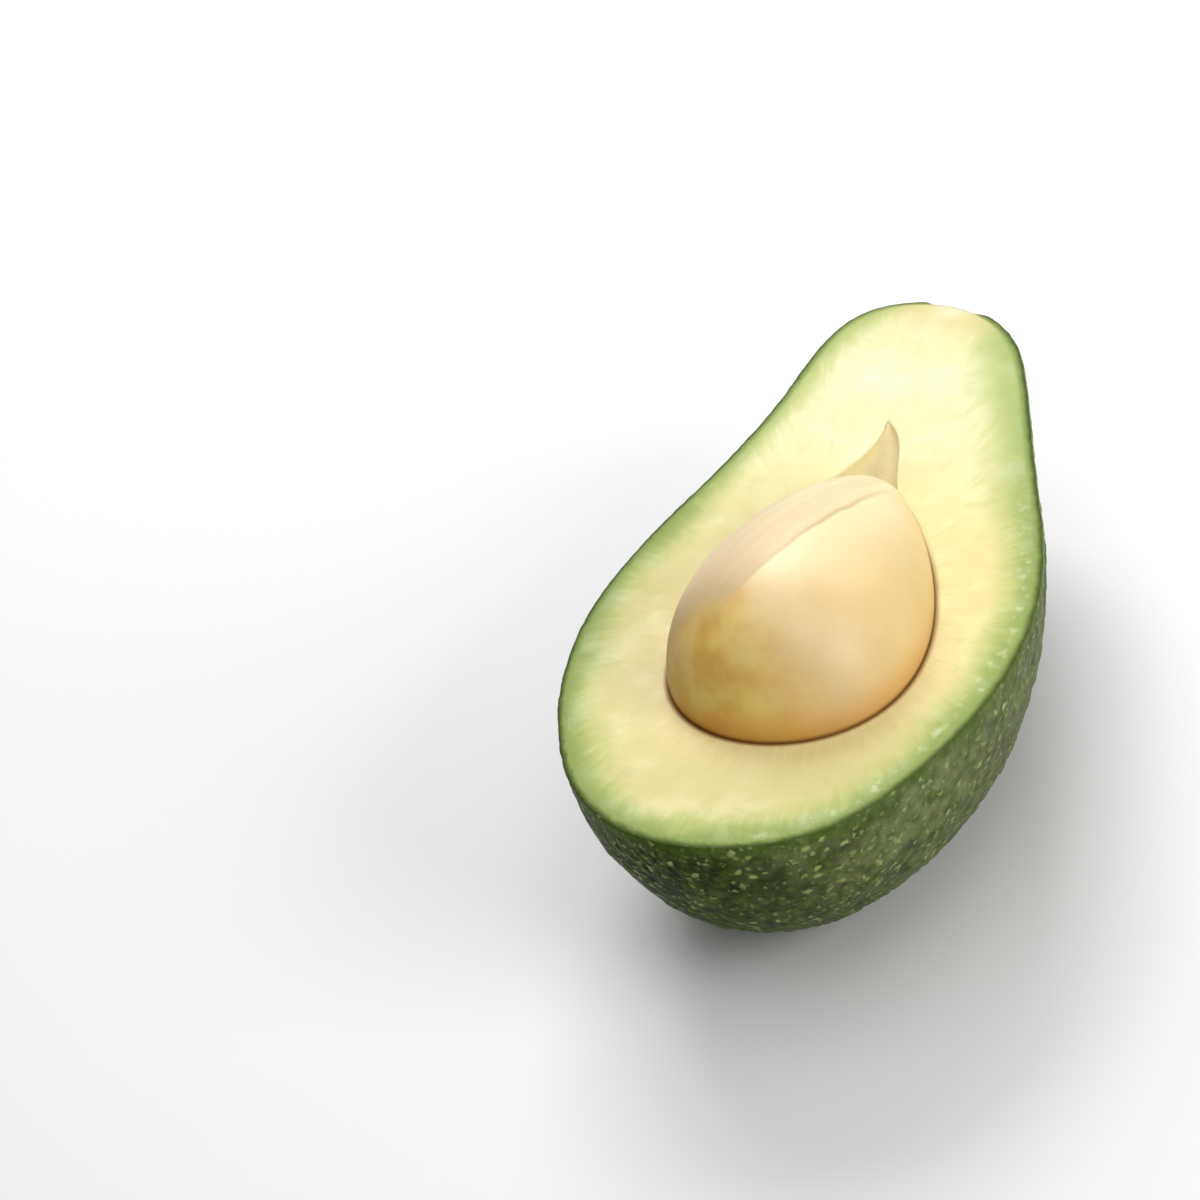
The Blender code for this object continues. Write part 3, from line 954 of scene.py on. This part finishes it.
def flesh_finish():
    """Cream with painted light, darker at the blossom end and lighter with a painted highlight
    in the neck; peach round the seed, lime and green towards the skin.

    Fibres run out from the seed. Then come painted glints at the right rim, the cut
    edge, the stem's pale trace, the wall of the seed's room and the groove along the seed,
    brown with painted shade.
    """
    finish = Finish("ripe flesh")
    from_skin = finish.attribute("from_skin")
    from_egg = finish.attribute("from_egg")
    inside = finish.attribute("inside")
    from_blossom_end = finish.axis("Y") - START_Y / MM
    offset = finish.vector("SUBTRACT", finish.place, tuple(PLACE + (SEED_X, SEED_Y, 0)))
    heading = finish.vector("NORMALIZE", offset)
    spoke = finish.vector("MULTIPLY_ADD", offset, (FIBRE_DRIFT,) * 3, heading)
    fibres = finish.noise(FIBRE_WIDTH, 3, spoke)
    blotches = finish.noise(13 * MM, 3)
    mottles = finish.noise(3.5 * MM, 3)
    neck = from_blossom_end.rises(62, 100)
    right = finish.axis("X").rises(-10, 14)
    cream = finish.mix(blotches.rises(0.35, 0.7), CREAM_DARK, CREAM_LIGHT)
    # Painted light: darker at the blossom end and lighter towards the neck, for light falling
    # off along the face
    cream = cream.painted(BLOSSOM_CREAM, from_blossom_end.falls(5, 50) * 0.7)
    colour = cream.painted(NECK_CREAM, neck)
    # Painted highlight: whiter patches in the neck
    white = finish.noise(9 * MM, 2).rises(0.35, 0.8) * from_blossom_end.rises(75, 95)
    colour = colour.painted(NECK_PAINTED_HIGHLIGHT, white * 0.7)
    peach = finish.mix(fibres.rises(0.4, 0.6), PEACH_DARK, PEACH_LIGHT)
    around_seed = (from_egg + (blotches - 0.5) * 5).falls(0.0, 8.5) * (1 - neck * 0.6)
    colour = colour.painted(peach, around_seed * 0.75)
    # The green's depth in mm, uneven, and each place's share of it
    green_depth = 7.5 + neck * (right * 4 - 1) + (blotches - 0.5) * 7
    green_depth = green_depth + (fibres - 0.5) * (3 + neck * 6)
    share = from_skin / green_depth
    lime = finish.mix(fibres.rises(0.4, 0.62), LIME_DARK, LIME_LIGHT)
    lime = lime.painted(NECK_LIME, neck * 0.5)
    colour = colour.painted(lime, share.falls(0.35, 1.1))
    green = finish.mix(neck, RIM_GREEN, NECK_GREEN)
    colour = colour.painted(green, share.falls(0.1, 0.65) * 0.9)
    colour = colour.painted(lime, mottles.rises(0.5, 0.7) * share.falls(0.6, 2.2) * 0.35)
    # Painted highlight: pale glints near the skin at the right rim
    wet_glints = finish.noise(1.6 * MM, 2).rises(0.5, 0.75) * from_skin.falls(2.6, 4.4)
    colour = colour.painted(PAINTED_WET_GLINT, wet_glints * right * (1 - neck) * 0.5)
    colour = colour.painted(cut_edge_colour(finish, from_skin), from_skin.falls(1.0, 2.0))
    colour = colour.painted(FIBRE_TAN, fibres.rises(0.55, 0.75) * 0.12)
    scar_place = tuple(PLACE + (SCAR_X, SCAR_Y, 0))
    from_stem = finish.vector("DISTANCE", finish.place, scar_place, output="Value")
    stem = finish.mix(from_stem.falls(1 * MM, 5 * MM), STEM_RING, STEM_CORE)
    colour = colour.painted(stem, from_stem.falls(4 * MM, 14 * MM) * 0.85)
    wall = finish.mix(finish.noise(2.5 * MM, 3), ROOM_DARK, ROOM_LIGHT)
    colour = colour.painted(wall, inside)
    seed_along = (from_blossom_end - SEED_Y / MM) * (MM / SEED_HALF_LENGTH)
    # Painted shade in the gap round the seed, brown, darkest towards the blunt end
    groove = from_egg.falls(0.25, 1.0) * (seed_along.falls(0.25, 0.7) * 0.85 + 0.1)
    brown = finish.mix(seed_along.falls(-0.7, 0.2), GROOVE_SHADE_TAN, GROOVE_SHADE_BROWN)
    finish.set(
        Base_Color=colour.painted(brown, groove),
        Roughness=0.52 - finish.noise(6 * MM, 2).rises(0.45, 0.7) * 0.22,
        Normal=finish.bump(finish.noise(0.5 * MM, 3) + fibres, 0.08 * MM, 0.5),
        Specular_IOR_Level=0.3,
        Subsurface_Weight=0.25,
        Subsurface_Radius=(1.0, 0.8, 0.35),
        Subsurface_Scale=0.002,
    )
    return finish.material


def bare_seed_colour(finish, across, along, height):
    """The seed without its coat: tan, with a painted highlight on top, ochre at the left that
    is partly painted shade, orange below.
    """
    clouds = finish.noise(11 * MM, 2)
    colour = finish.mix(clouds.rises(0.3, 0.7), SEED_TAN, SEED_PALE)
    # Painted highlight on the seed's upper part
    colour = colour.painted(SEED_PAINTED_HIGHLIGHT, (along * 0.6 + height - across * 0.5).rises(0.2, 1.1))
    blunt_end = (along + (clouds - 0.5) * 0.5).falls(-0.95, -0.25)
    colour = colour.painted(BLUNT_TAN, blunt_end * 0.8)
    # Ochre at the lower left: partly the seed's own tone, partly painted shade
    spots = finish.noise(4.5 * MM, 2).rises(0.35, 0.65)
    ochre = finish.mix(spots, OCHRE_DARK, OCHRE_LIGHT)
    left = (along * 0.8 + across * 0.7 + (clouds - 0.5) * 0.4).falls(-0.85, -0.3)
    colour = colour.painted(ochre, left * 0.9)
    side = across.rises(0.5, 1.0) * along.falls(-0.1, 0.45)
    colour = colour.painted(SIDE_TAN, side * 0.6)
    foot = height.falls(0.02, 0.28) * (along - across * 0.2).falls(-0.8, 0.0)
    return colour.painted(FOOT_ORANGE, foot * 0.6)


def coat_colour(finish, tear, along, height):
    """The papery coat, streaked along its tear, pinker and then olive to the blunt end, the
    olive partly painted shade.
    """
    grain = finish.node("ShaderNodeCombineXYZ", {}, {0: tear * 5, 1: along, 2: height})
    streaks = finish.noise(0.6, 2, grain)
    colour = finish.mix(streaks.rises(0.35, 0.68), PAPER_DARK, PAPER_LIGHT)
    colour = colour.painted(PAPER_PINK, along.falls(-0.35, 0.45) * 0.45)
    # Olive towards the blunt end: partly the coat's tone, partly painted shade
    return colour.painted(PAPER_OLIVE_AND_SHADE, along.falls(-0.85, -0.2) * 0.8)


def seed_finish():
    """The bare seed and its coat, with painted shade down the left side, the tear's line and
    the groove's painted shade.
    """
    finish = Finish("seed with its torn coat")
    coat = finish.attribute("coat")
    tear = finish.attribute("tear")
    across = finish.attribute("across")
    along = finish.attribute("along")
    height = finish.attribute("height")
    colour = bare_seed_colour(finish, across, along, height)
    paper = coat_colour(finish, tear, along, height)
    colour = colour.painted(paper, coat * along.rises(-0.85, -0.45) * 1.6)
    # Painted shade down the seed's far left side
    far_left_shade = (across + along * 0.3).falls(-1.0, -0.6) * along.falls(-0.55, -0.28)
    colour = colour.painted(LEFT_EDGE_SHADE, far_left_shade * 0.6)
    line = abs(tear + 0.012).falls(0.0, 0.035) * height.rises(0.2, 0.6)
    line = line * along.rises(-0.5, 0.0) * along.falls(0.2, 0.8)
    colour = colour.painted(TEAR_LINE, line * 0.5)
    # Painted shade on the seed's foot down in the gap, dark brown
    groove = height.falls(0.006, 0.042) * along.falls(0.25, 0.7)
    finish.set(
        Base_Color=colour.painted(SEED_GROOVE_SHADE, groove * 0.9),
        Roughness=0.36 + coat * 0.2 + (finish.noise(1.4 * MM, 3) - 0.5) * 0.12,
        Normal=finish.bump(finish.noise(0.8 * MM, 4), 0.10 * MM, 0.35),
        Specular_IOR_Level=0.34,
        Subsurface_Weight=0.08,
        Subsurface_Radius=(1.0, 0.6, 0.3),
        Subsurface_Scale=0.001,
    )
    return finish.material


def floor_finish():
    """White behind, a little greyer in front as painted shade."""
    finish = Finish("pale floor")
    share = finish.axis("Y").rises(-140, 120)
    finish.set(Base_Color=finish.mix(share, FLOOR_NEAR_SHADE, FLOOR_FAR), Roughness=0.6)
    return finish.material


# Pieces on the model


for name, surface, finish in (
    ("skin", skin_surface, skin_finish),
    ("flesh", flesh_surface, flesh_finish),
    ("seed", seed_surface, seed_finish),
):
    piece = mesh_object(name + "_surface", *surface())
    piece.data.materials.append(finish())
    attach(piece, "root")
    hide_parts(name)


# Floor, light and camera


floor_mesh = bpy.data.meshes.new("floor")
floor_mesh.from_pydata([(-4, -4, 0), (4, -4, 0), (4, 4, 0), (-4, 4, 0)], [], [(0, 1, 2, 3)])
floor = bpy.data.objects.new("floor", floor_mesh)
floor.data.materials.append(floor_finish())
bpy.context.scene.collection.objects.link(floor)


def facing(place, aim):
    """The turn that points an object's own -Z from a place to an aim, with its Y up."""
    turn = (Vector(aim) - Vector(place)).to_track_quat("-Z", "Y")
    return Matrix.Translation(place) @ turn.to_matrix().to_4x4()


def soft_light(name, place, aim, size, power):
    """A flat lamp at a place, facing a point."""
    lamp = bpy.data.lights.new(name, "AREA")
    lamp.shape = "RECTANGLE"
    lamp.size, lamp.size_y = size
    lamp.energy = power
    light = bpy.data.objects.new(name, lamp)
    light.matrix_world = facing(place, aim)
    bpy.context.scene.collection.objects.link(light)


def pale_room():
    """A white world, faint at the horizon and brighter overhead."""
    world = bpy.data.worlds.new("pale room")
    world.use_nodes = True
    nodes, links = world.node_tree.nodes, world.node_tree.links
    background = nodes["Background"]
    background.inputs["Color"].default_value = (1, 1, 1, 1)
    direction = nodes.new("ShaderNodeTexCoord")
    parts = nodes.new("ShaderNodeSeparateXYZ")
    brightness = nodes.new("ShaderNodeMapRange")
    brightness.interpolation_type = "SMOOTHSTEP"
    brightness.inputs["From Min"].default_value = HORIZON_END
    brightness.inputs["To Min"].default_value = HORIZON_LIGHT
    brightness.inputs["To Max"].default_value = OVERHEAD_LIGHT
    links.new(direction.outputs["Generated"], parts.inputs[0])
    links.new(parts.outputs["Z"], brightness.inputs["Value"])
    links.new(brightness.outputs[0], background.inputs["Strength"])
    bpy.context.scene.world = world


def stand_camera():
    """The camera, at the angle from which the photo sees the cut face."""
    camera = bpy.data.objects.new("camera", bpy.data.cameras.new("camera"))
    camera.data.lens = CAMERA_LENS
    camera.data.sensor_width = CAMERA_FILM
    origin = Vector(PLACE)
    aimed = facing(Vector(CAMERA_PLACE) + origin, Vector(CAMERA_AIM) + origin)
    camera.matrix_world = aimed @ Matrix.Rotation(CAMERA_ROLL, 4, "Z")
    bpy.context.scene.collection.objects.link(camera)
    bpy.context.scene.camera = camera


soft_light("window behind", (-0.26, 0.49, 0.60), (0, 0.02, 0.04), (0.50, 0.40), 3.7)
soft_light("large light above", (0.10, -0.20, 1.00), (0, 0, 0.04), (0.9, 0.9), 2.97)
soft_light("soft light at the right", (0.70, -0.14, 0.40), (0, 0, 0.02), (0.5, 0.4), 3.45)
pale_room()
stand_camera()
bpy.context.scene.view_settings.view_transform = "Standard"
